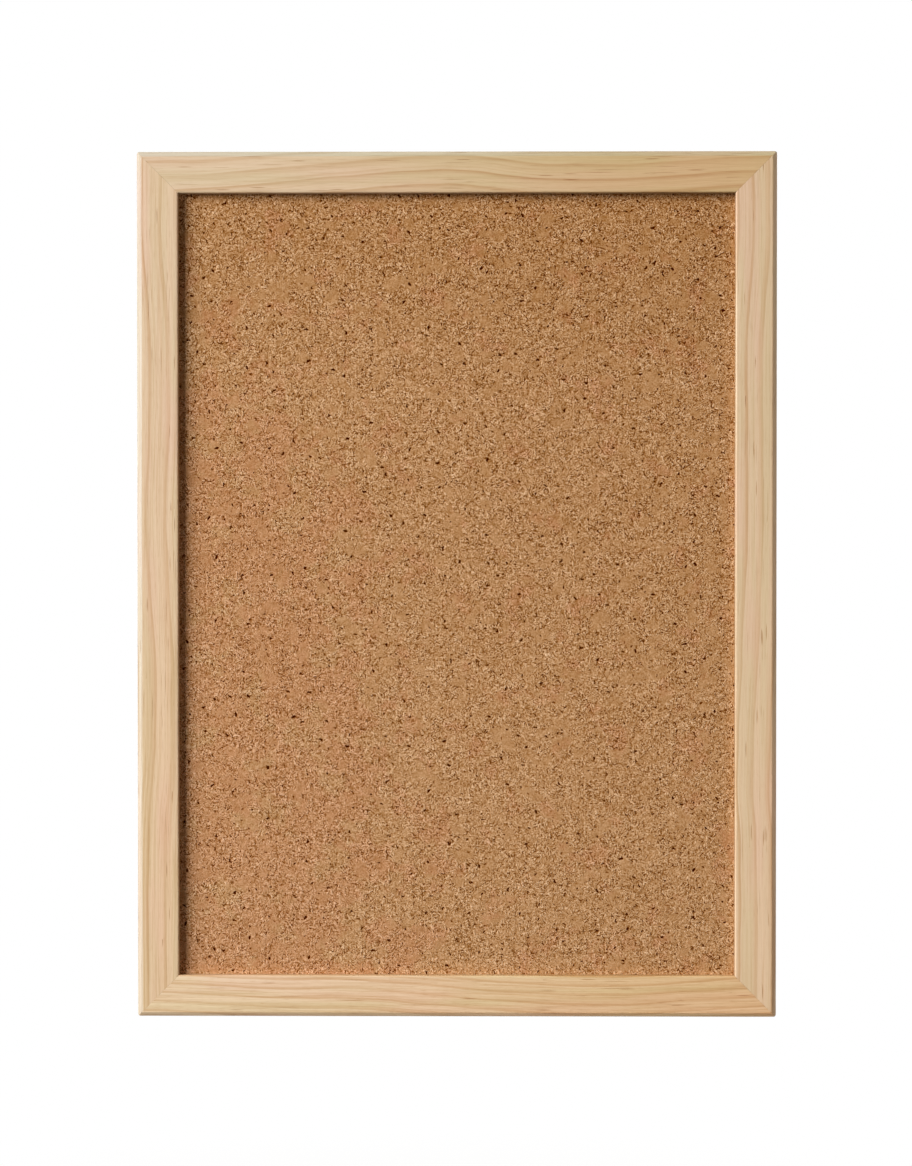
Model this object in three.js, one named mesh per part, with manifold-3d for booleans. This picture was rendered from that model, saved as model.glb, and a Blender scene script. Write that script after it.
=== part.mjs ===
// A portrait cork pin board in a mitred pine frame, hung on a wall by two sawtooth hangers.
// Four lengths of one pine moulding are joined by steel V-nails. The cork, a softboard core and a
// hardboard back lie in the moulding's rebate, and steel framer's tabs hold them in from behind.
// Millimetres, Z up, X to the right as seen from the front, which faces -Y.
// The origin is the middle of the board on the wall plane, Y = 0, where the four back pads bear.
import * as THREE from "three";
import { mergeVertices } from "three/addons/utils/BufferGeometryUtils.js";
import Module from "manifold-3d";

// Overall size of the frame
const boardWidth = 300;
const boardHeight = 406;

// Pine moulding
const mouldingWidth = 19.6;
const mouldingDepth = 18;
const outerChamfer = 2.2;
const arrisReach = 0.35;
const lipArrisReach = 0.8;
const rebateWidth = 5.3;
const mitreGap = 0.1;

// Panel, from the front backwards
const corkRecess = 4.4;
const corkThickness = 3;
const softboardThickness = 5;
const hardboardThickness = 2.6;
const panelClearance = 0.75;

// Room between pieces
const seatGap = 0.1;
const driveClearance = 0.3;
const overrun = 1;
const weldTolerance = 0.0001;

// V-nails, two across each mitre
const vNailLeg = 3.2;
const vNailThickness = 0.5;
const vNailLength = 7;
const vNailSunk = 0.3;
const vNailHalfOpening = THREE.MathUtils.degToRad(50);
const vNailInsetShares = [0.3, 0.74];

// Framer's tabs, driven flat into the rebate wall
const tabWidth = 5;
const tabThickness = 0.6;
const tabBite = 6;
const tabReach = 9;
const tabPoint = 2.5;
const stileTabShares = [-0.36, 0, 0.36];
const railTabShares = [-0.25, 0.25];

// Sawtooth hangers
const hangerLength = 45;
const hangerHeight = 8;
const hangerThickness = 0.8;
const hangerFoot = 7;
const hangerRamp = 1.5;
const hangerRise = 1.2;
const hangerSpacing = 150;
const toothPitch = 2;
const toothDepth = 1.2;
const toothCount = 13;

// Hanger nails
const nailRadius = 0.7;
const nailLength = 10;
const nailPoint = 2;
const nailHeadRadius = 1.7;
const nailHeadThickness = 0.6;
const nailHeadRim = 0.25;
const nailSides = 16;

// Wall pads of felt
const padRadius = 5;
const padThickness = 2.6;
const padEdge = 0.4;
const padInset = 34;
const padSides = 32;

// Planes that the pieces share, along Y
const backPlane = -(padThickness + seatGap);
const frontPlane = backPlane - mouldingDepth;
const corkFace = frontPlane + corkRecess + seatGap;
const softboardFace = corkFace + corkThickness + seatGap;
const hardboardFace = softboardFace + softboardThickness + seatGap;
const panelBack = hardboardFace + hardboardThickness;

// Sizes that follow from the moulding
const backWidth = mouldingWidth - rebateWidth;
const panelWidth = boardWidth - 2 * (backWidth + panelClearance);
const panelHeight = boardHeight - 2 * (backWidth + panelClearance);
const openingWidth = boardWidth - 2 * mouldingWidth;
const openingHeight = boardHeight - 2 * mouldingWidth;

// Materials
const pine = new THREE.MeshStandardMaterial({ color: 0xd9b994, roughness: 0.6, metalness: 0 });
const cork = new THREE.MeshStandardMaterial({ color: 0xb18158, roughness: 0.95, metalness: 0 });
const softboard = new THREE.MeshStandardMaterial({ color: 0xb0926a, roughness: 1, metalness: 0 });
const hardboard = new THREE.MeshStandardMaterial({ color: 0x7a563a, roughness: 0.55, metalness: 0 });
const zinc = new THREE.MeshStandardMaterial({ color: 0xbebeba, roughness: 0.35, metalness: 1 });
const steel = new THREE.MeshStandardMaterial({ color: 0x787a7c, roughness: 0.4, metalness: 1 });
const felt = new THREE.MeshStandardMaterial({ color: 0xded8cc, roughness: 1, metalness: 0 });

const wasm = await Module();
wasm.setup();

// A closed geometry as a solid, its shared vertices merged.
function solidOf(geometry) {
  const bare = geometry.index ? geometry.toNonIndexed() : geometry.clone();
  bare.deleteAttribute("normal");
  bare.deleteAttribute("uv");
  const merged = mergeVertices(bare, weldTolerance);
  const mesh = new wasm.Mesh({
    numProp: 3,
    vertProperties: merged.attributes.position.array,
    triVerts: new Uint32Array(merged.index.array),
  });
  return new wasm.Manifold(mesh);
}

// A solid back as a geometry.
function geometryOf(solid) {
  const { vertProperties, triVerts } = solid.getMesh();
  const geometry = new THREE.BufferGeometry();
  geometry.setAttribute("position", new THREE.BufferAttribute(vertProperties, 3));
  geometry.setIndex(new THREE.BufferAttribute(triVerts, 1));
  geometry.computeVertexNormals();
  return geometry;
}

function cut(geometry, cutters) {
  const whole = solidOf(geometry);
  return geometryOf(cutters.reduce((solid, cutter) => solid.subtract(solidOf(cutter)), whole));
}

function named(name, geometry, material) {
  const mesh = new THREE.Mesh(geometry, material);
  mesh.name = name;
  return mesh;
}

// A closed outline through corner points. A corner with a reach is rounded over that distance.
function outline(corners) {
  const points = corners.map(([x, y]) => new THREE.Vector2(x, y));
  const shape = new THREE.Shape();
  points.forEach((corner, i) => {
    const reach = corners[i][2] ?? 0;
    const before = points.at(i - 1).clone().sub(corner).setLength(reach).add(corner);
    const after = points[(i + 1) % points.length].clone().sub(corner).setLength(reach).add(corner);
    if (i === 0) shape.moveTo(before.x, before.y);
    else shape.lineTo(before.x, before.y);
    if (reach > 0) shape.quadraticCurveTo(corner.x, corner.y, after.x, after.y);
  });
  return shape;
}

// A flat shape in X and Z, given thickness towards the front from Y = 0.
function flatPlate(shape, thickness) {
  const geometry = new THREE.ExtrudeGeometry(shape, { depth: thickness, bevelEnabled: false });
  return geometry.rotateX(Math.PI / 2);
}

// Moulding profile: x runs inwards from the outer edge, y backwards to the back face at 0.
function mouldingProfile() {
  return outline([
    [0, 0],
    [backWidth, 0],
    [backWidth, corkRecess - mouldingDepth],
    [mouldingWidth, corkRecess - mouldingDepth],
    [mouldingWidth, -mouldingDepth, lipArrisReach],
    [outerChamfer, -mouldingDepth, arrisReach],
    [0, outerChamfer - mouldingDepth, arrisReach],
  ]);
}

// One length of moulding along X, its outer edge at Z = 0, each end mitred at 45 degrees.
function mouldingLength(length) {
  const settings = { depth: length, bevelEnabled: false, curveSegments: 3 };
  const geometry = new THREE.ExtrudeGeometry(mouldingProfile(), settings);
  const corners = geometry.attributes.position;
  const halfLength = (length - mitreGap * Math.SQRT2) / 2;
  for (let i = 0; i < corners.count; i++) {
    const side = corners.getZ(i) > length / 2 ? 1 : -1;
    corners.setZ(i, side * (halfLength - corners.getX(i)));
  }
  return geometry.rotateY(Math.PI / 2);
}

// V-nail outline with its point at the origin and its legs open towards +Y.
function vOutline(leg, outside, inside) {
  const along = new THREE.Vector2(Math.sin(vNailHalfOpening), Math.cos(vNailHalfOpening));
  const inwards = new THREE.Vector2(-along.y, along.x);
  const legEnd = (offset) => along.clone().multiplyScalar(leg).addScaledVector(inwards, offset);
  const outerEnd = legEnd(-outside);
  const innerEnd = legEnd(inside);
  return outline([
    [0, -outside / along.x],
    [outerEnd.x, outerEnd.y],
    [innerEnd.x, innerEnd.y],
    [0, inside / along.x],
    [-innerEnd.x, innerEnd.y],
    [-outerEnd.x, outerEnd.y],
  ]);
}

function vNail() {
  return flatPlate(vOutline(vNailLeg, 0, vNailThickness), vNailLength);
}

function vNailSlot() {
  const grown = vNailThickness + driveClearance;
  const shape = vOutline(vNailLeg + driveClearance, driveClearance, grown);
  const depth = vNailLength + vNailSunk + driveClearance;
  return flatPlate(shape, depth + overrun).translate(0, vNailSunk + overrun, 0);
}

// Tab outline with the rebate wall at Y = 0, pointed towards the wood at +Y.
function tabOutline(width, reach, bite) {
  return outline([
    [-width / 2, -reach],
    [width / 2, -reach],
    [width / 2, bite - tabPoint],
    [0, bite],
    [-width / 2, bite - tabPoint],
  ]);
}

function tab() {
  return flatPlate(tabOutline(tabWidth, tabReach, tabBite), tabThickness);
}

function tabSlot() {
  const shape = tabOutline(tabWidth + 2 * driveClearance, overrun, tabBite + driveClearance);
  const height = tabThickness + 2 * driveClearance;
  return flatPlate(shape, height).translate(0, driveClearance, 0);
}

// Hanger strip: feet on the rail at Y = 0, the middle raised, saw teeth along the lower edge.
function hanger() {
  const end = hangerLength / 2;
  const bend = end - hangerFoot;
  const top = bend - hangerRamp;
  const thick = hangerThickness;
  const strip = outline([
    [-end, 0],
    [-bend, 0],
    [-top, hangerRise],
    [top, hangerRise],
    [bend, 0],
    [end, 0],
    [end, thick],
    [bend, thick],
    [top, hangerRise + thick],
    [-top, hangerRise + thick],
    [-bend, thick],
    [-end, thick],
  ]);
  const settings = { depth: hangerHeight, bevelEnabled: false };
  const geometry = new THREE.ExtrudeGeometry(strip, settings).translate(0, 0, -hangerHeight / 2);
  const footHoles = hangerNailPlaces.map((x) => nailHole().translate(x, 0, 0));
  return cut(geometry, [hangerTeeth(), ...footHoles]);
}

// What is cut away between the saw teeth.
function hangerTeeth() {
  const edge = -hangerHeight / 2;
  const start = -(toothCount * toothPitch) / 2;
  const corners = [[start, edge - overrun]];
  for (let i = 0; i < toothCount; i++) {
    corners.push([start + i * toothPitch, edge]);
    corners.push([start + (i + 1 / 2) * toothPitch, edge + toothDepth]);
  }
  corners.push([-start, edge]);
  corners.push([-start, edge - overrun]);
  const thickness = hangerRise + hangerThickness + 2 * overrun;
  return flatPlate(outline(corners), thickness).translate(0, thickness - overrun, 0);
}

// Nail along Y with the underside of its head at 0 and its point at the front.
function nail() {
  const profile = [
    [0, -nailLength],
    [nailRadius, nailPoint - nailLength],
    [nailRadius, 0],
    [nailHeadRadius, 0],
    [nailHeadRadius, nailHeadRim],
    [nailRadius, nailHeadThickness],
    [0, nailHeadThickness],
  ].map(([x, y]) => new THREE.Vector2(x, y));
  return new THREE.LatheGeometry(profile, nailSides);
}

function nailHole() {
  const radius = nailRadius + driveClearance;
  const depth = nailLength + driveClearance;
  const geometry = new THREE.CylinderGeometry(radius, radius, depth + overrun, nailSides);
  return geometry.translate(0, (overrun - depth) / 2, 0);
}

// Felt pad with its glued side at Y = 0 and the rim of its wall side eased.
function pad() {
  const profile = [
    [0, 0],
    [padRadius, 0],
    [padRadius, padThickness - padEdge],
    [padRadius - padEdge, padThickness],
    [0, padThickness],
  ].map(([x, y]) => new THREE.Vector2(x, y));
  return new THREE.LatheGeometry(profile, padSides);
}

// Where each length of moulding lies: its outer edge's middle, and its turn about Y.
const sides = [
  { name: "top_rail", x: 0, z: boardHeight / 2, turn: 0, length: boardWidth },
  { name: "bottom_rail", x: 0, z: -boardHeight / 2, turn: Math.PI, length: boardWidth },
  { name: "left_stile", x: -boardWidth / 2, z: 0, turn: -Math.PI / 2, length: boardHeight },
  { name: "right_stile", x: boardWidth / 2, z: 0, turn: Math.PI / 2, length: boardHeight },
];
const frameCorners = [
  { name: "top_left", x: -1, z: 1 },
  { name: "top_right", x: 1, z: 1 },
  { name: "bottom_left", x: -1, z: -1 },
  { name: "bottom_right", x: 1, z: -1 },
];
const hangerNailPlaces = [(hangerFoot - hangerLength) / 2, (hangerLength - hangerFoot) / 2];

const board = new THREE.Group();

// Adds a piece that is driven into the wood, and keeps the hole that it makes there.
const drivenHoles = [];
function drive(piece, hole) {
  piece.updateMatrix();
  drivenHoles.push(hole.applyMatrix4(piece.matrix));
  board.add(piece);
}

frameCorners.forEach((corner) => {
  vNailInsetShares.forEach((share, i) => {
    const inset = share * backWidth;
    const piece = named(`v_nail_${corner.name}_${i + 1}`, vNail(), steel);
    const x = corner.x * (boardWidth / 2 - inset);
    const z = corner.z * (boardHeight / 2 - inset);
    piece.position.set(x, backPlane - vNailSunk, z);
    piece.rotation.y = Math.atan2(corner.x, corner.z);
    drive(piece, vNailSlot());
  });
});

sides.forEach((side) => {
  const upright = side.length === boardHeight;
  const shares = upright ? stileTabShares : railTabShares;
  const span = upright ? openingHeight : openingWidth;
  shares.forEach((share, i) => {
    const piece = named(`panel_tab_${side.name}_${i + 1}`, tab(), steel);
    const along = new THREE.Vector3(share * span, 0, -backWidth);
    along.applyAxisAngle(new THREE.Vector3(0, 1, 0), side.turn);
    piece.position.set(side.x + along.x, panelBack + seatGap + tabThickness, side.z + along.z);
    piece.rotation.y = side.turn;
    drive(piece, tabSlot());
  });
});

// Hangers on the middle of the top rail's back face, with a nail through each foot
const hangerZ = (boardHeight - backWidth) / 2;
["left", "right"].forEach((word, i) => {
  const hangerX = (i - 1 / 2) * hangerSpacing;
  const strip = named(`sawtooth_hanger_${word}`, hanger(), zinc);
  strip.position.set(hangerX, backPlane + seatGap, hangerZ);
  board.add(strip);
  hangerNailPlaces.forEach((place, j) => {
    const piece = named(`hanger_nail_${word}_${j + 1}`, nail(), zinc);
    const headSeat = backPlane + hangerThickness + 2 * seatGap;
    piece.position.set(hangerX + place, headSeat, hangerZ);
    drive(piece, nailHole());
  });
});

// Pine frame, each length cut by the fasteners that it meets
sides.forEach((side) => {
  const rail = named(side.name, mouldingLength(side.length), pine);
  rail.position.set(side.x, backPlane, side.z);
  rail.rotation.y = side.turn;
  rail.updateMatrix();
  const home = rail.matrix.clone().invert();
  const cutters = drivenHoles.map((hole) => hole.clone().applyMatrix4(home));
  rail.geometry = cut(rail.geometry, cutters);
  board.add(rail);
});

// Panel layers
function layer(name, thickness, face, material) {
  const mesh = named(name, new THREE.BoxGeometry(panelWidth, thickness, panelHeight), material);
  mesh.position.y = face + thickness / 2;
  board.add(mesh);
}
layer("cork_sheet", corkThickness, corkFace, cork);
layer("softboard_core", softboardThickness, softboardFace, softboard);
layer("hardboard_back", hardboardThickness, hardboardFace, hardboard);

// Wall pads on the stiles' back faces, near the corners
frameCorners.forEach((corner) => {
  const mesh = named(`wall_pad_${corner.name}`, pad(), felt);
  const x = corner.x * (boardWidth - backWidth) / 2;
  const z = corner.z * (boardHeight / 2 - padInset);
  mesh.position.set(x, backPlane + seatGap, z);
  board.add(mesh);
});

export default board;
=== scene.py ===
"""Looks of a portrait cork pin board in a mitred pine frame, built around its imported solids.

Lengths are named in millimetres and turned into metres where Blender needs them.
X runs to the right, Z up, and the board's front faces -Y.
Colours are named as on screen, from 0 to 255. A noise's scale is in turns a millimetre.
"""

import math

import bmesh
import bpy
import numpy as np
from mathutils import Matrix, Vector, noise


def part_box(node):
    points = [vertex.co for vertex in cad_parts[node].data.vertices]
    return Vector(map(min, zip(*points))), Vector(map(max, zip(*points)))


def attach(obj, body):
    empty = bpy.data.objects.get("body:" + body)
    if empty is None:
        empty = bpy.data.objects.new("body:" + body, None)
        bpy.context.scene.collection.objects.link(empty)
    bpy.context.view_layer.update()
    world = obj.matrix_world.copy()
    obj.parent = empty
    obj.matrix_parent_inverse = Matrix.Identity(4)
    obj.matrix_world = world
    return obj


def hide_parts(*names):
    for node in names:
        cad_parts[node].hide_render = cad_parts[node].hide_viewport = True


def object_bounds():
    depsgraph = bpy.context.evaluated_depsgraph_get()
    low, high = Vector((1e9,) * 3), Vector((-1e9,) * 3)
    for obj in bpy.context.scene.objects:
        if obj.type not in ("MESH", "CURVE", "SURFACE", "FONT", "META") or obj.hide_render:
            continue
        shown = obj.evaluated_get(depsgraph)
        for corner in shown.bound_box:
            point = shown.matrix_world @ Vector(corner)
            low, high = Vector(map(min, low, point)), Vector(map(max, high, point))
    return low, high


MM = 0.001
WHITE = (1, 1, 1, 1)
BLACK = (0, 0, 0, 1)

# Texture map for baking: its name, and the strip at its foot for what is hidden
BAKED_MAP = "OFBake"
HIDDEN_SHARE = 0.02

# Photograph: its width and focal length in pixels, and where it was taken from and aimed at
PHOTO_WIDTH = 912
FOCAL_PIXELS = 2801
SENSOR_WIDTH = 36
CAMERA_PLACE = (13.1, -1332.8, 19.8)
CAMERA_AIM = (-0.28, -20.7, 0.9)

# Lamps: levels are what a white surface that faces the lamp gives back
KEY_PLACE = (-4252, -3204, 2050)
KEY_SIZE = (4000, 3300)
KEY_LEVEL = 1.67
RIM_PLACE = (-2600, 320, 0)
RIM_SIZE = (600, 1900)
RIM_LEVEL = 0.11
REAR_PLACE = (1300, 1700, 900)
REAR_SIZE = (1200, 1200)
REAR_LEVEL = 0.35
BOUNCE_PLACE = (3200, -1150, 150)
BOUNCE_SIZE = (1500, 1000)
BOUNCE_LEVEL = 0.08
BOUNCE_TINT = (1.0, 0.82, 0.55)

# World: a weak warm fill from the front turns into a white one from the wall behind, between two
# values of a direction's Y
FRONT_FILL_LEVEL = 0.02
FRONT_FILL_TINT = (1.0, 0.6, 0.2)
WALL_FILL_LEVEL = 1.1
BACKGROUND_LEVEL = 1.0
FILL_TURN = (-0.2, 0.2)

# Floor: it hangs well below the board, and its shadow fades out between two distances
FLOOR_DROP = 250
FLOOR_HALF = 4000
FLOOR_CORNER_SHARES = ((-1, -1), (1, -1), (1, 1), (-1, 1))
FLOOR_COLOUR = (196, 196, 196)
FLOOR_BOUNCE_COLOUR = (112, 112, 112)
SHADOW_NEAR = 600
SHADOW_FAR = 930
SHADOW_GLOW = 0.27

# Pine moulding
CHAMFER = 2.2
LIP = 4.4
REBATE = 5.3
ARRIS_REACH = 0.55
LIP_ARRIS_REACH = 0.95
BACK_ARRIS_REACH = 0.4
HIDDEN_ARRIS_REACH = 0.2
ARRIS_STEPS = 6
ARRIS_WEAR_SHARE = 0.3
ARRIS_WEAR_LENGTH = 22
FLAT_STEP = 2.4
STATION_STEP = 5.0
MITRE_GAP = 0.02
MITRE_EASE = 0.06
CORNER_ROUND = 1.5
CORNER_STEPS = 4
SLOT_CLEARANCE = 0.08

# Pine's noises: their scales along a length, through its depth and across its width
SEED_STRIDE = (731, 57, 91)
WANDER_SCALES = (0.012, 0.03, 0.03)
WANDER_REACH = 1.6
WAVE_SCALES = (0.04, 0.12, 0.12)
WAVE_REACH = 0.7
FADE_SCALES = (0.016, 0.2, 0.2)
BAND_SCALES = (0.005, 0.22, 0.22)
BLUSH_SCALES = (0.014, 0.09, 0.09)
FIBRE_SCALES = (0.03, 1.6, 1.6)
PORE_SCALES = (0.2, 5.0, 5.0)
FINE_RING_SCALE = 1.1
FINE_RING_DRIFT = 0.006

# Pine's rings: the distances from a ring's sharp side between which its line and its soft shade
# fade away, and between which their edges rise
RING_SEED_STRIDE = 11
RING_START_SHARE = 0.9
RING_LINE = (0.55, 2.3)
RING_EDGE = (0.05, 0.6)
RING_SHADE = (0.6, 4.6)
RING_SHADE_EDGE = (0.0, 0.7)

# Resin dashes, common ones and thin ones
DASH_GROUP_SCALES = (0.02, 0.16, 0.16)
DASH_SCALES = (0.055, 1.0, 1.0)
THIN_DASH_SCALES = (0.032, 1.6, 1.6)
THIN_DASH_SHIFT = (53, 7, 29)
THIN_DASH_SHARES = (0.5, 0.12)
DASH_EDGE_SHARES = (0.1, 0.28)

# Tones of a length: tints along it, which partly paint light, a painted highlight and painted
# light on its chamfer, and painted shade on its lip's wall near the cork
TINT_REACH = 150
CHAMFER_PAINTED_LIGHT_EDGE = 0.1
LIP_PAINTED_SHADE_DEPTHS = (0.02, 0.2)
LIP_PAINTED_SHADE_FADE = (-0.8, 0.4)

# Heights of pine's figure
RING_HEIGHT = 0.02
FIBRE_HEIGHT = -0.03
PORE_HEIGHT = -0.012
DASH_HEIGHT = -0.04

# Each length's grain. first is where a ring's dark line starts on the face, with 0 at the outer
# edge. A spacing below 0 turns the lines' sharp side to the board's middle. Each bend is from, to
# and how far the lines move out between the two. The two tints are for the length's two ends;
# besides the wood's own tone they paint light, lifting or lowering the length where the lamps
# leave it too dark or light. The chamfer colour is a painted highlight on the top and left
# chamfers and painted light on the right and bottom ones. The lip colour is painted shade on the
# lip's wall near the cork.
GRAINS = {
    "top_rail": {
        "seed": 1,
        "first": -11.4,
        "spacing": 6.8,
        "lean": 0.3,
        "bends": ((-140, 0, 9.2), (-8, 45, -4.1), (60, 165, 3.6)),
        "dash_share": 0.5,
        "fuzz": 1.05,
        "tints_and_painted_light": ((238, 244, 247), (222, 219, 193)),
        "chamfer_painted_light": (234, 250, 265),
        "lip_painted_shade": (226, 219, 208),
    },
    "bottom_rail": {
        "seed": 2,
        "first": -10.4,
        "spacing": 4.5,
        "lean": -0.2,
        "bends": ((-165, -65, 4.6), (-55, 60, -7.1), (75, 140, -2.4)),
        "dash_share": 0.3,
        "fuzz": 1.75,
        "tints_and_painted_light": ((246, 242, 222), (256, 264, 265)),
        "chamfer_painted_light": (280, 275, 269),
        "lip_painted_shade": (242, 236, 228),
    },
    "left_stile": {
        "seed": 3,
        "first": -13.8,
        "spacing": -8.6,
        "lean": 0.5,
        "bends": ((-115, -75, -2.4), (-40, 30, 3.2), (35, 85, -2.0), (100, 170, 3.4)),
        "dash_share": 0.7,
        "fuzz": 1.45,
        "tints_and_painted_light": ((247, 248, 245), (241, 245, 247)),
        "chamfer_painted_light": (224, 237, 257),
        "lip_painted_shade": (226, 212, 195),
    },
    "right_stile": {
        "seed": 4,
        "first": -3.5,
        "spacing": 7.4,
        "lean": -0.4,
        "bends": ((-165, -105, -3.2), (-25, 90, -4.2), (95, 120, 1.5)),
        "dash_share": 0.6,
        "fuzz": 1.0,
        "tints_and_painted_light": ((238, 241, 239), (247, 248, 247)),
        "chamfer_painted_light": (267, 260, 248),
        "lip_painted_shade": (196, 189, 180),
    },
}

# How far each length is turned about Y from the top rail's place
TURNS = {"top_rail": 0, "bottom_rail": math.pi, "left_stile": -math.pi / 2, "right_stile": math.pi / 2}

# Strokes: long ones are narrow and short ones wide, each a little bowed, with soft ends
STROKE_GROWTH_SHARES = (1.5, 0.75)
STROKE_BOW = 0.25
STROKE_EDGE_SHARES = (0.55, 1.15)

# Cork: a fray is how far and at what scale. Strokes and specks are a cell, a length, a width and
# the share of the cells that have one. Layers of strokes have their shift on the sheet first
CHIP_FRAY = (0.8, 0.8)
CHIP = 1.7
CHIP_GRAIN_SCALES = (0.55, 1.8, 1.0)
BROAD_CHIP = 2.9
BROAD_CHIP_SHIFT = (41, 12, 0)
BROAD_CHIP_GRAIN_SCALES = (0.4, 1.4, 1.0)
SMOOTH_CHIP = 4.6
SMOOTH_CHIP_SHARE = 0.1
GRIT_SCALE = 1.9
BOLD_SCALE = 0.13
PALE_STROKES = (((0, 0, 0), 1.3, 1.7, 0.42, 0.7), ((31, 17, 0), 1.9, 2.4, 0.45, 0.6))
DARK_STROKES = (((57, 83, 0), 1.4, 1.7, 0.42, 0.6), ((7, 43, 0), 2.0, 2.3, 0.42, 0.6))
HAIR_FRAY = (2.4, 0.35)
HAIR_SCALE = 0.32
HAIR_EDGE = (0.006, 0.022)
HAIR_BREAK_SCALE = 0.5
STRONG_SPECK_FRAY = (1.3, 0.9)
STRONG_SPECKS = (9.2, 1.7, 0.85, 0.75)
FAIR_SPECK_FRAY = (1.0, 1.1)
FAIR_SPECKS = (4.1, 1.5, 0.6, 0.4)
FAIR_SPECK_SHARE = 0.55

# How far each part of the cork moves its level, which runs from 0 for dark to 1 for pale
MIDDLE_LEVEL = 0.55
TONE_REACH = 0.04
GRAIN_REACH = 0.48
BROAD_GRAIN_REACH = 0.17
GRIT_REACH = 0.25
PALE_STROKE_RISE = 0.25
DARK_STROKE_RISE = -0.2
HAIR_RISE = -0.22
SPECK_RISE = -0.62

# Cork's painted light, slow changes of level: paler at its foot and left side and darker along
# its top, as light falls there. From, to, and the change at each
PAINTED_LIGHT_UP = ((-230, 140, 0.04, 0.0), (80, 195, 0.0, -0.05))
PAINTED_LIGHT_ACROSS = (-130, 140, 0.018, -0.018)

# Cork's pinkish patches, which gather at the lower left
PATCH_SCALE = 0.05
PATCH_LEAN = 0.15
PATCH_ACROSS = (5, -105)
PATCH_UP = (160, 30)
PATCH_GAIN = 0.18
PATCH_EDGE = (0.54, 0.66)
PINK_SHARE = 0.31

# Cork's surface
CORK_STEP = 1.03
CORK_EDGE_FLAT = 1.0
FACE_TOLERANCE = 0.01
SPECK_SINK = 0.28
CHIP_SINK = 0.1
UNEVEN_SCALE = 0.06
UNEVEN_SINK = 0.2
CORK_GRAIN_HEIGHT = 0.22
CORK_SPECK_HEIGHT = -0.1

# Cork's colour at each level
CORK_COLOURS = (
    (0.0, (62, 14, 0)),
    (0.2, (106, 50, 0)),
    (0.4, (153, 102, 50)),
    (0.55, (183, 136, 90)),
    (0.75, (212, 167, 124)),
    (1.0, (240, 200, 160)),
)

# Softboard and hardboard
BOARD_EDGE = 0.3
FLUFF_SCALE = 1.2
LUMP_SCALE = 0.12
FLUFF_HEIGHT = 0.12
PRESS_PITCH = 1.8
PRESS_HEIGHT = 0.09
PRESS_EDGE = 0.45
BOARD_FIBRE_SCALE = 0.9
BOARD_FIBRE_HEIGHT = 0.05
MOTTLE_FRAY = (6.0, 0.06)
MOTTLE_SCALE = 0.11
CLOUD_SCALE = 0.012
BOARD_FRAY = (1.5, 0.3)
PALE_BOARD_STROKES = (4.2, 5.5, 0.5, 0.55)
DARK_BOARD_SHIFT = (91, 37, 0)
DARK_BOARD_STROKES = (5.0, 5.0, 0.6, 0.5)

# Metal finishes
SPANGLE = 0.8
RUB_SCALES = (0.3, 3.0, 4.0)
RUB_HEIGHT = 0.012
DULL_SCALE = 0.25
ROLL_SCALES = (2.4, 1.0, 0.4)
ROLL_HEIGHT = 0.01
BLOOM_SCALE = 0.5

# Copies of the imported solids, with their edges eased
MERGE_DISTANCE = 0.001
FLAT_ANGLE = math.radians(1)
SHEET_EDGE = 0.15
SHEET_EDGE_STEPS = 2

# Meshes are smooth but for the edges that turn by more than this
SHARP_ANGLE = math.radians(32)

# Hanger nails. Each point of a head is a share of its radius and a share of its height, and the
# blunt tip is a share of the shank's radius and a share of the point's length
SHANK_RADIUS = 0.7
NAIL_HEAD = 0.6
NAIL_POINT = 2.0
NAIL_TIP_SHARES = (0.25, 0.15)
NAIL_HEAD_SHARES = ((0.94, 0), (1, 0.18), (0.97, 0.36), (0.82, 0.66), (0.55, 0.88), (0.25, 0.98))
NAIL_SIDES = 32

# Felt pads
PAD_FOOT_SHARES = (0.5, 0.9)
PAD_FOOT_EDGE = 0.15
PAD_WALL_SHARES = (1 / 6, 2 / 6, 3 / 6)
PAD_RIM = 0.7
PAD_RIM_STEPS = 6
PAD_FACE_SHARES = (0.75, 0.6, 0.45, 0.3, 0.15)
PAD_SIDES = 72
PAD_FUZZ = 0.09
PAD_FUZZ_SCALE = 1.7
PAD_FUZZ_START = 0.1
PAD_FUZZ_END = 0.05
FELT_HAIR_SCALE = 2.6
FELT_CLUMP_SCALE = 0.7
FELT_HEIGHT = 0.16


# Colours and node trees


def srgb(red, green, blue):
    """A colour given as on screen, from 0 to 255, as the linear values that shaders take."""
    shares = [value / 255 for value in (red, green, blue)]
    linear = [s / 12.92 if s <= 0.04045 else ((s + 0.055) / 1.055) ** 2.4 for s in shares]
    return (*linear, 1)


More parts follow.
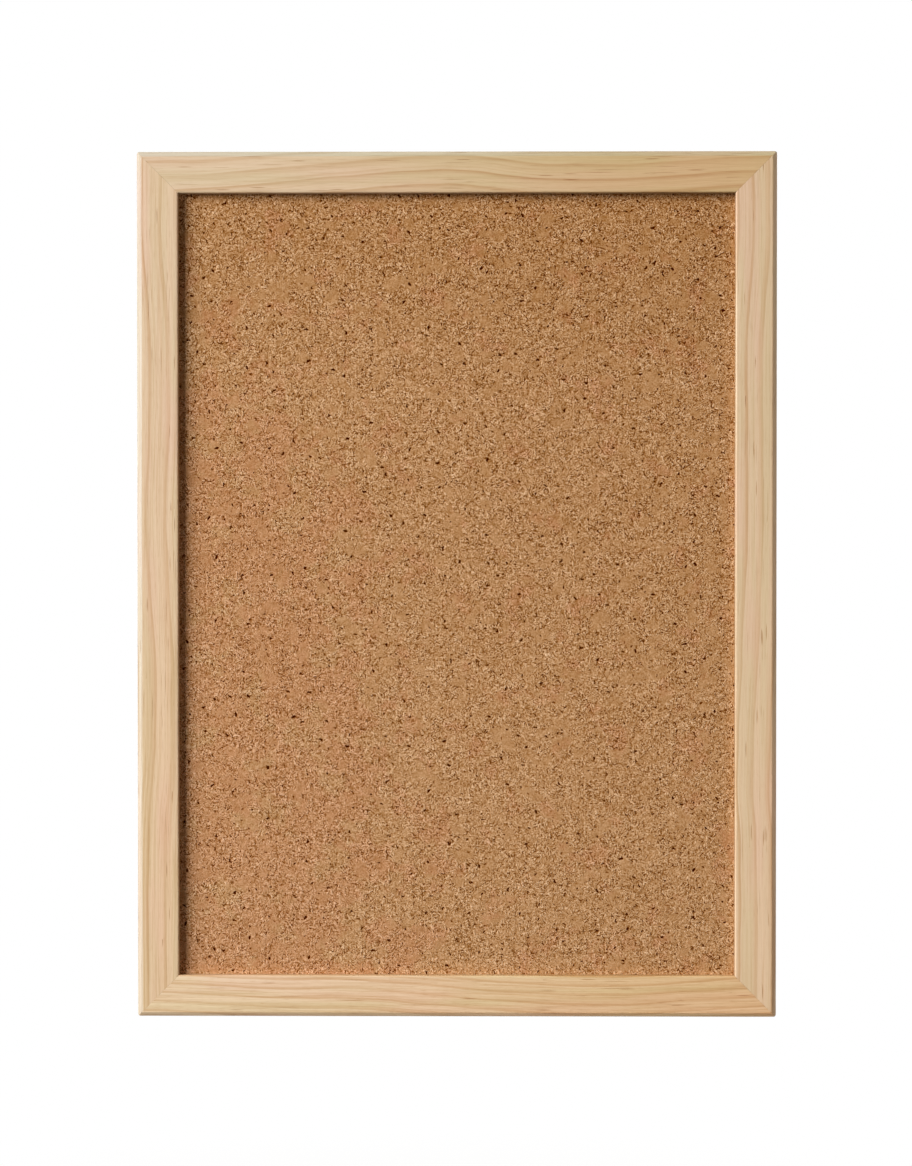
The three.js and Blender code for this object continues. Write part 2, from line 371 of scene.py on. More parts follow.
class Tree:
    """Adds nodes to a node tree. Each method returns the new node's output socket."""

    def __init__(self, tree):
        self.tree = tree

    def node(self, kind, values=(), **settings):
        node = self.tree.nodes.new(kind)
        for name, value in settings.items():
            setattr(node, name, value)
        for key, value in dict(values).items():
            self.feed(node.inputs[key], value)
        return node

    def feed(self, socket, value):
        if isinstance(value, bpy.types.NodeSocket):
            self.tree.links.new(value, socket)
        else:
            socket.default_value = value

    def math(self, operation, a, b=0.0):
        return self.node("ShaderNodeMath", {0: a, 1: b}, operation=operation).outputs[0]

    def add(self, a, b):
        return self.math("ADD", a, b)

    def less(self, a, b):
        return self.math("SUBTRACT", a, b)

    def times(self, a, b):
        return self.math("MULTIPLY", a, b)

    def larger(self, a, b):
        return self.math("MAXIMUM", a, b)

    def centred(self, value, reach):
        """A value from 0 to 1 as one that swings by reach to both sides of 0."""
        return self.times(self.less(value, 0.5), 2 * reach)

    def step(self, value, low, high, to_low=0.0, to_high=1.0):
        """Goes smoothly from to_low to to_high as value goes from low to high."""
        values = {0: value, 1: low, 2: high, 3: to_low, 4: to_high}
        return self.node("ShaderNodeMapRange", values, interpolation_type="SMOOTHSTEP").outputs[0]

    def vector(self, operation, a, b=(0, 0, 0)):
        return self.node("ShaderNodeVectorMath", {0: a, 1: b}, operation=operation).outputs[0]

    def shifted(self, vector, shift):
        return self.vector("ADD", vector, shift)

    def scaled(self, vector, factors):
        return self.vector("MULTIPLY", vector, factors)

    def turned(self, vector, share):
        """The vector turned about Z by a share, from 0 to 1, of two whole turns."""
        values = {"Vector": vector, "Angle": self.times(share, 4 * math.pi)}
        return self.node("ShaderNodeVectorRotate", values, rotation_type="Z_AXIS").outputs[0]

    def axes(self, vector):
        return self.node("ShaderNodeSeparateXYZ", {0: vector}).outputs

    def joined(self, x, y, z):
        return self.node("ShaderNodeCombineXYZ", {0: x, 1: y, 2: z}).outputs[0]

    def noise(self, place, scale, detail=2.0, roughness=0.5):
        """Noise from 0 to 1. The scale is one for all axes, or one for each."""
        if isinstance(scale, tuple):
            place = self.scaled(place, scale)
            scale = 1.0
        values = {"Vector": place, "Scale": scale, "Detail": detail, "Roughness": roughness}
        return self.node("ShaderNodeTexNoise", values).outputs[0]

    def cells(self, place, size, dimensions="3D"):
        """Voronoi node with cells of about that size."""
        values = {"Vector": place, "Scale": 1 / size}
        return self.node("ShaderNodeTexVoronoi", values, voronoi_dimensions=dimensions)

    def mix(self, share, a, b):
        return self.node("ShaderNodeMix", {0: share, 2: a, 3: b}).outputs[0]

    def blend(self, share, a, b, blend_type="MIX"):
        """Mixes two colours."""
        settings = {"data_type": "RGBA", "blend_type": blend_type}
        return self.node("ShaderNodeMix", {0: share, 6: a, 7: b}, **settings).outputs[2]

    def stained(self, share, colour, stain):
        """The colour multiplied by a stain, by a share from 0 to 1."""
        return self.blend(share, colour, stain, "MULTIPLY")

    def ramp(self, value, stops):
        """Colour ramp through stops of a place and a colour."""
        node = self.node("ShaderNodeValToRGB", {0: value})
        elements = node.color_ramp.elements
        while len(elements) < len(stops):
            elements.new(1)
        for element, (place, colour) in zip(elements, stops):
            element.position = place
            element.color = srgb(*colour)
        return node.outputs[0]


class Finish(Tree):
    """A material with one principled shader. Its place() is the object's own, in millimetres."""

    def __init__(self, name, **shader_values):
        self.material = bpy.data.materials.new(name)
        self.material.use_nodes = True
        super().__init__(self.material.node_tree)
        self.shader = self.tree.nodes["Principled BSDF"]
        for key, value in shader_values.items():
            self.shader.inputs[key.replace("_", " ")].default_value = value

    def place(self):
        socket = self.node("ShaderNodeTexCoord").outputs["Object"]
        return self.scaled(socket, (1 / MM, 1 / MM, 1 / MM))

    def wear(self, colour, roughness=None, height=None):
        """Feeds the shader. The height is in millimetres."""
        self.feed(self.shader.inputs["Base Color"], colour)
        if roughness is not None:
            self.feed(self.shader.inputs["Roughness"], roughness)
        if height is not None:
            bump = self.node("ShaderNodeBump", {"Height": height, "Distance": MM, "Strength": 1.0})
            self.feed(self.shader.inputs["Normal"], bump.outputs[0])
        return self.material


# Pine


def ring_depth(f, place, moved, grain):
    """How deep a place lies among the leaning growth rings, which bend and wander a little."""
    x, y, z = f.axes(place)
    path = f.centred(f.noise(moved, WANDER_SCALES, 1.0), WANDER_REACH)
    path = f.add(path, f.centred(f.noise(moved, WAVE_SCALES, 1.5), WAVE_REACH))
    for start, end, rise in grain["bends"]:
        path = f.add(path, f.step(x, start, end, 0.0, rise))
    depth = f.add(z, f.times(f.add(y, moulding_depth), grain["lean"]))
    return f.add(f.less(depth, path), -grain["first"])


def ring_lines(f, moved, depth, grain):
    """The rings' dark lines and the soft shade behind each, both from 0 to 1."""
    spacing = grain["spacing"]
    rings = f.add(f.times(depth, 1 / spacing), grain["seed"] * RING_SEED_STRIDE + RING_START_SHARE)
    gap = f.times(f.less(1.0, f.math("FRACT", rings)), abs(spacing))
    values = {"W": f.math("FLOOR", rings)}
    strength = f.node("ShaderNodeTexWhiteNoise", values, noise_dimensions="1D").outputs[0]
    strength = f.step(strength, 0.0, 1.0, 0.6, 1.0)
    fade = f.step(f.noise(moved, FADE_SCALES, 1.0), 0.3, 0.62, 0.35, 1.0)
    line = f.times(f.step(gap, *RING_LINE, 1.0, 0.0), f.step(gap, *RING_EDGE))
    shade = f.times(f.step(gap, *RING_SHADE, 1.0, 0.0), f.step(gap, *RING_SHADE_EDGE))
    return f.times(line, f.times(strength, fade)), shade


def resin_dashes(f, moved, scales, group):
    """Dark dashes along the grain, 1 at their middle lines. group is their chance from 0 to 1."""
    cells = f.cells(f.scaled(moved, scales), 1.0)
    chance, weight, _ = f.axes(cells.outputs["Color"])
    drawn = f.times(f.math("LESS_THAN", chance, group), f.step(weight, 0.0, 1.0, 0.35, 1.0))
    return f.times(drawn, f.step(cells.outputs["Distance"], *DASH_EDGE_SHARES, 1.0, 0.0))


def all_dashes(f, moved, most):
    """Common and thin dashes, which come in groups."""
    group = f.step(f.noise(moved, DASH_GROUP_SCALES, 1.0), 0.42, 0.62, 0.0, most)
    share, least = THIN_DASH_SHARES
    thin_group = f.add(f.times(group, share), least)
    common = resin_dashes(f, moved, DASH_SCALES, group)
    thin = resin_dashes(f, f.shifted(moved, THIN_DASH_SHIFT), THIN_DASH_SCALES, thin_group)
    return f.larger(common, thin)


def pine(name, grain):
    """Pale pine in a length's own frame: X along the grain, Z out from the board's middle."""
    f = Finish(name, Specular_IOR_Level=0.5)
    place = f.place()
    moved = f.shifted(place, [grain["seed"] * stride for stride in SEED_STRIDE])
    fuzz = grain["fuzz"]
    x, y, z = f.axes(place)
    depth = ring_depth(f, place, moved, grain)
    line, shade = ring_lines(f, moved, depth, grain)
    fine_place = f.joined(f.times(depth, FINE_RING_SCALE), f.times(x, FINE_RING_DRIFT), grain["seed"])
    fine = f.noise(fine_place, 1.0, 2.0, 0.7)
    band = f.noise(moved, BAND_SCALES, 1.0)
    blush = f.noise(moved, BLUSH_SCALES, 1.0)
    fibre = f.noise(moved, FIBRE_SCALES, 2.0, 0.6)
    pores = f.noise(moved, PORE_SCALES, 1.0)
    dash = all_dashes(f, moved, grain["dash_share"])

    colour = f.blend(f.step(band, 0.35, 0.65), srgb(236, 204, 170), srgb(229, 201, 163))
    colour = f.blend(f.step(blush, 0.48, 0.72, 0.0, 0.65), colour, srgb(238, 199, 171))
    colour = f.stained(f.times(shade, 0.3), colour, srgb(235, 219, 200))
    colour = f.stained(f.times(line, 0.9), colour, srgb(235, 221, 203))
    colour = f.stained(f.step(fine, 0.45, 0.7, 0.0, 0.5 * fuzz), colour, srgb(240, 229, 215))
    colour = f.stained(f.step(fibre, 0.4, 0.75, 0.0, 0.5 * fuzz), colour, srgb(238, 229, 218))
    colour = f.stained(f.step(pores, 0.52, 0.75, 0.0, 0.35 * fuzz), colour, srgb(232, 218, 202))
    colour = f.stained(f.times(dash, 0.95), colour, srgb(205, 178, 150))
    colour = toned_with_painted_light(f, colour, x, y, z, grain)
    height = f.add(f.times(line, RING_HEIGHT), f.times(fibre, FIBRE_HEIGHT))
    height = f.add(height, f.times(pores, PORE_HEIGHT))
    height = f.add(height, f.times(dash, DASH_HEIGHT))
    return f.wear(colour, f.add(0.36, f.times(fibre, 0.16)), height)


def toned_with_painted_light(f, colour, x, y, z, grain):
    """The colour with the length's tint, which partly paints light, painted highlight and
    painted light on its chamfers, and painted shade on its inner wall near the cork.
    """
    start, end = [srgb(*tint) for tint in grain["tints_and_painted_light"]]
    # Painted light as well as the wood's tone: the tints lift or lower the length along it where the
    # lamps leave it too dark or light
    colour = f.stained(1.0, colour, f.blend(f.step(x, -TINT_REACH, TINT_REACH), start, end))
    inner_edge = moulding_depth - CHAMFER - ARRIS_REACH
    outer_edge = moulding_depth - CHAMFER - CHAMFER_PAINTED_LIGHT_EDGE
    # Painted highlight on the top and left chamfers, and painted light that lifts the right and bottom
    # ones
    painted_light_on_chamfer = f.step(f.less(z, y), inner_edge, outer_edge)
    colour = f.stained(painted_light_on_chamfer, colour, srgb(*grain["chamfer_painted_light"]))
    # Painted shade: the lip's inner wall is darker near the cork, in the corner of the recess
    full, gone = [depth - moulding_width for depth in LIP_PAINTED_SHADE_DEPTHS]
    painted_shade_on_wall = f.step(z, full, gone, 1.0, 0.0)
    behind_arris = f.step(y, *[depth - moulding_depth for depth in LIP_PAINTED_SHADE_FADE])
    return f.stained(f.times(painted_shade_on_wall, behind_arris), colour, srgb(*grain["lip_painted_shade"]))


# Cork


def strokes(t, flat, cell, length, width, share):
    """Short strokes that lie every way, one to a cell, from 0 to 1 at their middle lines.

    flat is a place on the sheet in millimetres. share is how many of the cells have one.
    """
    node = t.cells(flat, cell, "2D")
    chance, turn, size = t.axes(node.outputs["Color"])
    away = t.vector("SUBTRACT", flat, t.scaled(node.outputs["Position"], (1, 1, 0)))
    grown = t.step(size, 0.0, 1.0, *STROKE_GROWTH_SHARES)
    along, across, _ = t.axes(t.turned(away, turn))
    along = t.times(along, t.times(grown, 2 / length))
    bow = t.times(t.times(along, along), t.centred(size, STROKE_BOW))
    across = t.times(t.add(across, bow), t.times(grown, 2 / width))
    reach = t.math("SQRT", t.add(t.times(along, along), t.times(across, across)))
    drawn = t.step(reach, *STROKE_EDGE_SHARES, 1.0, 0.0)
    return t.times(drawn, t.math("LESS_THAN", chance, share))


def stroke_layers(t, flat, layers):
    """Two layers of strokes over each other, each shifted on the sheet."""
    return t.larger(*[strokes(t, t.shifted(flat, shift), *sizes) for shift, *sizes in layers])


def frayed(t, flat, reach, scale):
    """The place moved a little by noise, which frays and bends what is drawn there."""
    colour = t.node("ShaderNodeTexNoise", {"Vector": flat, "Scale": scale, "Detail": 1.0}).outputs[1]
    swing = t.vector("SUBTRACT", colour, (0.5, 0.5, 0.5))
    return t.shifted(flat, t.scaled(swing, (reach, reach, 0)))


def on_sheet(t, place):
    """A place with its height on the sheet as its second value."""
    x, _, z = t.axes(place)
    return t.joined(x, z, 0.0)


def cork_specks(t, flat):
    """How deep inside a dark speck a place is, from 0 to 1: strong ones and faint ones."""
    strong = strokes(t, frayed(t, flat, *STRONG_SPECK_FRAY), *STRONG_SPECKS)
    fair = strokes(t, frayed(t, flat, *FAIR_SPECK_FRAY), *FAIR_SPECKS)
    return t.larger(strong, t.times(fair, FAIR_SPECK_SHARE))


def chip_grain(f, flat, size, shift, scales):
    """Parallel grain that lies another way in each chip. Returns it with the chips' own values."""
    moved = f.shifted(flat, shift)
    tone, turn, hue = f.axes(f.cells(moved, size, "2D").outputs["Color"])
    return f.noise(f.turned(moved, turn), scales, 0.5, 0.5), tone, hue


def boldness(f, flat, bent):
    """How strong the chips' grain is: some patches are bolder, a few large chips almost smooth."""
    bold = f.step(f.noise(flat, BOLD_SCALE, 2.0), 0.35, 0.65, 0.7, 1.2)
    chance = f.axes(f.cells(bent, SMOOTH_CHIP, "2D").outputs["Color"])[0]
    smooth = f.math("LESS_THAN", chance, SMOOTH_CHIP_SHARE)
    return f.times(bold, f.step(smooth, 0.0, 1.0, 1.0, 0.4))


def hair_lines(f, flat):
    """Hair lines that bend round the chips, and break off."""
    wavy = f.noise(frayed(f, flat, *HAIR_FRAY), HAIR_SCALE, 0.0)
    away = f.math("ABSOLUTE", f.less(wavy, 0.5))
    line = f.step(away, *HAIR_EDGE, 1.0, 0.0)
    return f.times(line, f.step(f.noise(flat, HAIR_BREAK_SCALE, 0.0), 0.45, 0.6))


def pinkness(f, flat, hue):
    """The pinkish patches, from 0 to 1, which some chips show more than others."""
    x, z, _ = f.axes(flat)
    lower_left = f.step(f.add(x, f.times(z, PATCH_LEAN)), *PATCH_ACROSS)
    lower_left = f.times(lower_left, f.step(z, *PATCH_UP))
    patch = f.add(f.noise(flat, PATCH_SCALE, 3.5, 0.65), f.times(lower_left, PATCH_GAIN))
    return f.times(f.step(patch, *PATCH_EDGE), f.step(hue, 0.0, 1.0, 0.7, 1.0))


def cork_texture(f, flat):
    """Grain, grit, strokes and hair lines together. Returns them with the chips' own values."""
    bent = frayed(f, flat, *CHIP_FRAY)
    fine, tone, hue = chip_grain(f, bent, CHIP, (0, 0, 0), CHIP_GRAIN_SCALES)
    broad, _, _ = chip_grain(f, bent, BROAD_CHIP, BROAD_CHIP_SHIFT, BROAD_CHIP_GRAIN_SCALES)
    grit = f.noise(flat, GRIT_SCALE, 0.0)
    pale = stroke_layers(f, bent, PALE_STROKES)
    dark = stroke_layers(f, bent, DARK_STROKES)
    texture = f.add(f.centred(fine, GRAIN_REACH), f.centred(broad, BROAD_GRAIN_REACH))
    texture = f.add(texture, f.centred(grit, GRIT_REACH))
    texture = f.add(texture, f.add(f.times(pale, PALE_STROKE_RISE), f.times(dark, DARK_STROKE_RISE)))
    texture = f.add(texture, f.times(hair_lines(f, flat), HAIR_RISE))
    return f.times(texture, boldness(f, flat, bent)), tone, hue


def cork_level(f, flat, texture, tone, speck):
    """How pale the cork is, with painted light: a little paler at its foot and left side than along its
    top.
    """
    level = f.add(f.add(texture, MIDDLE_LEVEL), f.centred(tone, TONE_REACH))
    x, z, _ = f.axes(flat)
    # Painted light: paler at the foot and left side, darker along the top
    for change in PAINTED_LIGHT_UP:
        level = f.add(level, f.step(z, *change))
    level = f.add(level, f.step(x, *PAINTED_LIGHT_ACROSS))
    return f.add(level, f.times(speck, SPECK_RISE))


def cork():
    """Agglomerated cork: chips with grain that lies every way, dark specks, pinkish patches."""
    f = Finish("cork", Specular_IOR_Level=0.0)
    flat = on_sheet(f, f.place())
    texture, tone, hue = cork_texture(f, flat)
    speck = cork_specks(f, flat)
    colour = f.ramp(cork_level(f, flat, texture, tone, speck), CORK_COLOURS)
    pink = f.times(pinkness(f, flat, hue), PINK_SHARE)
    colour = f.stained(pink, colour, srgb(255, 216, 221))
    height = f.add(f.times(texture, CORK_GRAIN_HEIGHT), f.times(speck, CORK_SPECK_HEIGHT))
    return f.wear(colour, 0.9, height)


# Backing sheets


def softboard():
    """Felted wood fibre, seen only if the panel is taken out."""
    f = Finish("softboard", Specular_IOR_Level=0.15)
    place = f.place()
    fluff = f.noise(place, FLUFF_SCALE, 4.0, 0.7)
    lumps = f.noise(place, LUMP_SCALE, 2.0)
    colour = f.blend(f.step(fluff, 0.3, 0.7), srgb(150, 120, 84), srgb(196, 166, 124))
    colour = f.blend(f.step(lumps, 0.3, 0.7, 0.0, 0.25), colour, srgb(140, 108, 74))
    return f.wear(colour, 0.95, f.times(fluff, FLUFF_HEIGHT))


def press_mesh(f, place):
    """The print of the press's wire mesh, 0 along its wires."""
    x, _, z = f.axes(place)
    warp = f.times(math.pi / PRESS_PITCH, x)
    weft = f.times(math.pi / PRESS_PITCH, z)
    mesh = f.times(f.math("SINE", f.add(warp, weft)), f.math("SINE", f.less(warp, weft)))
    return f.math("ABSOLUTE", mesh)


def hardboard():
    """Pressed hardboard with the print of the press's wire mesh on the face that shows."""
    f = Finish("hardboard", Specular_IOR_Level=0.4)
    place = f.place()
    flat = on_sheet(f, place)
    mesh = press_mesh(f, place)
    fibres = f.noise(place, BOARD_FIBRE_SCALE, 3.0, 0.7)
    mottle = f.noise(frayed(f, flat, *MOTTLE_FRAY), MOTTLE_SCALE, 4.0, 0.65)
    clouds = f.noise(place, CLOUD_SCALE, 2.0)
    pale = strokes(f, frayed(f, flat, *BOARD_FRAY), *PALE_BOARD_STROKES)
    elsewhere = f.shifted(flat, DARK_BOARD_SHIFT)
    dark = strokes(f, frayed(f, elsewhere, *BOARD_FRAY), *DARK_BOARD_STROKES)
    colour = f.blend(f.step(mottle, 0.3, 0.7), srgb(122, 84, 54), srgb(140, 100, 67))
    colour = f.blend(f.step(clouds, 0.35, 0.65, 0.0, 0.18), colour, srgb(112, 77, 50))
    colour = f.blend(f.step(fibres, 0.45, 0.7, 0.0, 0.6), colour, srgb(170, 128, 88))
    colour = f.blend(f.step(fibres, 0.45, 0.25, 0.0, 0.6), colour, srgb(80, 52, 33))
    colour = f.blend(f.times(pale, 0.3), colour, srgb(186, 146, 104))
    colour = f.blend(f.times(dark, 0.4), colour, srgb(72, 46, 29))
    colour = f.blend(f.step(mesh, 0.0, PRESS_EDGE, 0.6, 0.0), colour, srgb(70, 46, 30))
    height = f.add(f.times(mesh, PRESS_HEIGHT), f.times(fibres, BOARD_FIBRE_HEIGHT))
    return f.wear(colour, f.add(0.5, f.times(fibres, 0.25)), height)


# Metal and felt


def zinc():
    """Bright zinc plating with a faint spangle and rubbed streaks."""
    f = Finish("zinc", Metallic=1.0)
    place = f.place()
    spangle = f.axes(f.cells(place, SPANGLE).outputs["Color"])[0]
    rub = f.noise(place, RUB_SCALES, 3.0)
    dull = f.noise(place, DULL_SCALE, 2.0)
    colour = f.blend(f.times(spangle, 0.35), srgb(184, 187, 187), srgb(164, 168, 170))
    colour = f.blend(f.step(dull, 0.5, 0.75, 0.0, 0.4), colour, srgb(150, 148, 140))
    return f.wear(colour, f.add(0.26, f.times(rub, 0.22)), f.times(rub, RUB_HEIGHT))


def spring_steel():
    """Oiled dark spring steel with rolling marks and a trace of rust."""
    f = Finish("spring_steel", Metallic=1.0)
    place = f.place()
    roll = f.noise(place, ROLL_SCALES, 3.0)
    bloom = f.noise(place, BLOOM_SCALE, 3.0, 0.7)
    colour = f.blend(roll, srgb(118, 120, 123), srgb(146, 147, 148))
    colour = f.blend(f.step(bloom, 0.56, 0.75, 0.0, 0.5), colour, srgb(120, 88, 66))
    return f.wear(colour, f.add(0.3, f.times(bloom, 0.3)), f.times(roll, ROLL_HEIGHT))


def felt():
    """Pressed wool felt, off-white with loose darker hairs."""
    f = Finish("felt", Specular_IOR_Level=0.1, Sheen_Weight=0.35, Sheen_Roughness=0.4)
    place = f.place()
    hair = f.noise(place, FELT_HAIR_SCALE, 4.0, 0.75)
    clump = f.noise(place, FELT_CLUMP_SCALE, 2.0)
    colour = f.blend(f.step(hair, 0.3, 0.7), srgb(196, 189, 176), srgb(236, 231, 221))
    colour = f.blend(f.step(clump, 0.5, 0.7, 0.0, 0.3), colour, srgb(205, 196, 180))
    return f.wear(colour, 1.0, f.times(hair, FELT_HEIGHT))


# Objects and meshes


def new_object(name, data):
    """A new object in the scene, for a mesh, a lamp or a camera."""
    piece = bpy.data.objects.new(name, data)
    bpy.context.scene.collection.objects.link(piece)
    return piece


def mesh_object(name, points, faces, material):
    """A new object from points in millimetres, smooth but for its sharp edges."""
    mesh = bpy.data.meshes.new(name)
    mesh.from_pydata([Vector(p) * MM for p in points], [], faces)
    mesh.validate()
    mesh.update()
    mesh.materials.append(material)
    soften(mesh)
    return new_object(name, mesh)


def soften(mesh):
    mesh.shade_smooth()
    mesh.set_sharp_from_angle(angle=SHARP_ANGLE)


def seat(piece, slot, *nodes):
    """The piece rides on the board and stands for those solids, which it hides. slot is not used."""
    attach(piece, "root")
    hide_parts(*nodes)


def node_box(node):
    """Lowest and highest corners of a solid, in millimetres."""
    low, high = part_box(node)
    return low / MM, high / MM


def nodes_named(*starts):
    """The names of the solids that start so, in order."""
    return sorted(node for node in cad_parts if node.startswith(starts))


def baked(piece):
    """Applies the piece's modifiers."""
    graph = bpy.context.evaluated_depsgraph_get()
    mesh = bpy.data.meshes.new_from_object(piece.evaluated_get(graph))
    piece.modifiers.clear()
    piece.data = mesh
    soften(mesh)


def solid_copy(node):
    """The solid's own mesh as a bmesh in metres, welded and with its flat faces whole."""
    shape = bmesh.new()
    shape.from_mesh(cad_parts[node].data)
    bmesh.ops.remove_doubles(shape, verts=shape.verts, dist=MERGE_DISTANCE * MM)
    bmesh.ops.dissolve_limit(shape, angle_limit=FLAT_ANGLE, verts=shape.verts, edges=shape.edges)
    shape.normal_update()
    return shape


def as_object(name, shape, material):
    """A bmesh as a new object. The bmesh is freed."""
    mesh = bpy.data.meshes.new(name)
    shape.to_mesh(mesh)
    shape.free()
    mesh.materials.clear()
    mesh.materials.append(material)
    return new_object(name, mesh)


def eased_copy(node, name, material, edge):
    """A solid with each of its sharp edges rounded."""
    piece = as_object(name, solid_copy(node), material)
    ease = piece.modifiers.new("ease", "BEVEL")
    ease.width = edge * MM
    ease.segments = SHEET_EDGE_STEPS
    ease.limit_method = "ANGLE"
    ease.angle_limit = SHARP_ANGLE
    baked(piece)
    return piece


def lathe(name, profile, sides, material):
    """A turned piece about Y through its own origin. The profile's ends lie on the axis."""
    points = [(0, profile[0][1], 0), (0, profile[-1][1], 0)]
    rings = []
    for radius, depth in profile[1:-1]:
        rings.append([len(points) + i for i in range(sides)])
        for i in range(sides):
            angle = 2 * math.pi * i / sides
            points.append((radius * math.sin(angle), depth, radius * math.cos(angle)))
    faces = []
    for i in range(sides):
        j = (i + 1) % sides
        faces.append((0, rings[0][i], rings[0][j]))
        faces.append((1, rings[-1][j], rings[-1][i]))
        for ring, following in zip(rings, rings[1:]):
            faces.append((ring[i], following[i], following[j], ring[j]))
    return mesh_object(name, points, faces, material)


# Frame


def rounded(corners):
    """A closed outline through (u, v, reach) corners, each rounded over its reach."""
    points = []
    count = len(corners)
    for i, (u, v, reach) in enumerate(corners):
        corner = Vector((u, v))
        before = (Vector(corners[i - 1][:2]) - corner).normalized()
        after = (Vector(corners[(i + 1) % count][:2]) - corner).normalized()
        for k in range(ARRIS_STEPS + 1):
            t = k / ARRIS_STEPS
            points.append(corner + before * reach * (1 - t) ** 2 + after * reach * t ** 2)
    return points


def moulding_outline(wear):
    """Profile of the pine: u runs inwards from the outer edge, v backwards to the back at 0."""
    back_inner = moulding_width - REBATE
    lip_back = LIP - moulding_depth
    corners = [
        (0, 0, BACK_ARRIS_REACH),
        (back_inner, 0, BACK_ARRIS_REACH),
        (back_inner, lip_back, HIDDEN_ARRIS_REACH),
        (moulding_width, lip_back, HIDDEN_ARRIS_REACH),
        (moulding_width, -moulding_depth, LIP_ARRIS_REACH * wear),
        (CHAMFER, -moulding_depth, ARRIS_REACH * wear),
        (0, CHAMFER - moulding_depth, ARRIS_REACH * wear),
    ]
    outline = []
    arcs = rounded(corners)
    for i, point in enumerate(arcs):
        outline.append(point)
        following = arcs[(i + 1) % len(arcs)]
        pieces = math.ceil((following - point).length / FLAT_STEP)
        outline.extend(point.lerp(following, k / pieces) for k in range(1, pieces))
    return outline


def inset(outline, distance):
    """The outline drawn in by a small distance."""
    drawn = []
    for i, point in enumerate(outline):
        along = (outline[(i + 1) % len(outline)] - outline[i - 1]).normalized()
        drawn.append(point + Vector((along.y, -along.x)) * distance)
    return drawn


def corner_inset(from_tip):
    """How far the rounded outer corner draws in the profile at a distance from the mitre."""
    reach = max(CORNER_ROUND - from_tip, 0)
    both = reach + CORNER_ROUND
    return (both - math.sqrt(both ** 2 - 2 * reach ** 2)) / 2


def station_shares(length, half):
    """Where a length's profiles stand, from -1 to 1, closer together near its two tips."""
    stations = math.ceil(length / STATION_STEP)
    middle = [2 * k / stations - 1 for k in range(1, stations)]
    near_tip = [0, MITRE_EASE / (half - moulding_width)]
    near_tip += [CORNER_ROUND / half * k / CORNER_STEPS for k in range(1, CORNER_STEPS + 1)]
    return [t - 1 for t in near_tip] + middle + [1 - t for t in reversed(near_tip)]


def moulding_length(name, length, seed, material):
    """One length along X, its outer edge at Z = 0 and back at Y = 0, mitred at both ends."""
    half = length / 2 - MITRE_GAP * math.sqrt(0.5)
    shares = station_shares(length, half)
    points = []
    rings = []
    for share in shares:
        worn = noise.noise((share * half / ARRIS_WEAR_LENGTH, seed, 0))
        outline = moulding_outline(1 + ARRIS_WEAR_SHARE * worn)
        if abs(share) == 1:
            outline = inset(outline, MITRE_EASE)
        least = corner_inset(half * (1 - abs(share)))
        rings.append(range(len(points), len(points) + len(outline)))
        points.extend((share * (half - max(u, least)), v, -max(u, least)) for u, v in outline)
    faces = [tuple(rings[0]), tuple(reversed(rings[-1]))]
    around = len(rings[0])
    for ring, following in zip(rings, rings[1:]):
        for i in range(around):
            j = (i + 1) % around
            faces.append((ring[i], following[i], following[j], ring[j]))
    piece = mesh_object(name, points, faces, material)
    lay_out_sweep(piece.data, shares, around)
    return piece


def lay_out_sweep(mesh, shares, around):
    """Texture map of a swept length: the walk round it across, its length up, its ends below."""
    layer = mesh.uv_layers.new(name=BAKED_MAP)
    for face in mesh.polygons:
        corners = [mesh.loops[i].vertex_index for i in face.loop_indices]
        if len(corners) > 4:
            places = [(HIDDEN_SHARE / 2, HIDDEN_SHARE / 2)] * len(corners)
        else:
            turns = [c % around for c in corners]
            wraps = max(turns) - min(turns) > 1
            turns = [around if wraps and t == 0 else t for t in turns]
            ups = [(shares[c // around] + 1) / 2 for c in corners]
            places = [(t / around, shown_height(up)) for t, up in zip(turns, ups)]
        for i, place in zip(face.loop_indices, places):
            layer.data[i].uv = place


def shown_height(share):
    """A height on the texture map, above the strip for what is hidden."""
    return HIDDEN_SHARE + (1 - HIDDEN_SHARE) * share


def slot_for(node):
    """The solid of a driven piece, a little larger: the hole that it made in the wood."""
    shape = solid_copy(node)
    for vertex in shape.verts:
        vertex.co += vertex.normal * SLOT_CLEARANCE * MM

    # A piece that is sunk below the wood's back leaves its hole open there
    back = -pad_depth * MM
    top = max(v.co.y for v in shape.verts)
    if top < back:
        for vertex in shape.verts:
            if vertex.co.y > top - SLOT_CLEARANCE * MM:
                vertex.co.y = back + 2 * (back - top)
    return shape


def slot_cutter():
    """The holes of all the pieces that are driven into the wood, as one object."""
    slots = bmesh.new()
    for node in nodes_named("v_nail", "panel_tab", "hanger_nail"):
        shape = slot_for(node)
        mesh = bpy.data.meshes.new("slot")
        shape.to_mesh(mesh)
        shape.free()
        slots.from_mesh(mesh)
    return as_object("slots", slots, None)


def pine_frame():
    """Four mitred lengths, each cut by the slots of the pieces that are driven into it."""
    cutter = slot_cutter()
    for node, turn in TURNS.items():
        upright = abs(math.sin(turn)) > math.sqrt(0.5)
        length = 2 * (board_high.z if upright else board_high.x)
        material = pine(f"pine_{node}", GRAINS[node])
        piece = moulding_length(f"{node}_pine", length, GRAINS[node]["seed"], material)
        outer = Vector((math.sin(turn) * board_high.x, -pad_depth, math.cos(turn) * board_high.z))
        piece.matrix_world = Matrix.Translation(outer * MM) @ Matrix.Rotation(turn, 4, "Y")
        cut = piece.modifiers.new("slots", "BOOLEAN")
        cut.operation = "DIFFERENCE"
        cut.solver = "EXACT"
        cut.object = cutter
        bpy.context.view_layer.update()
        baked(piece)
        seat(piece, "pine", node)
    bpy.data.objects.remove(cutter)


# Panel


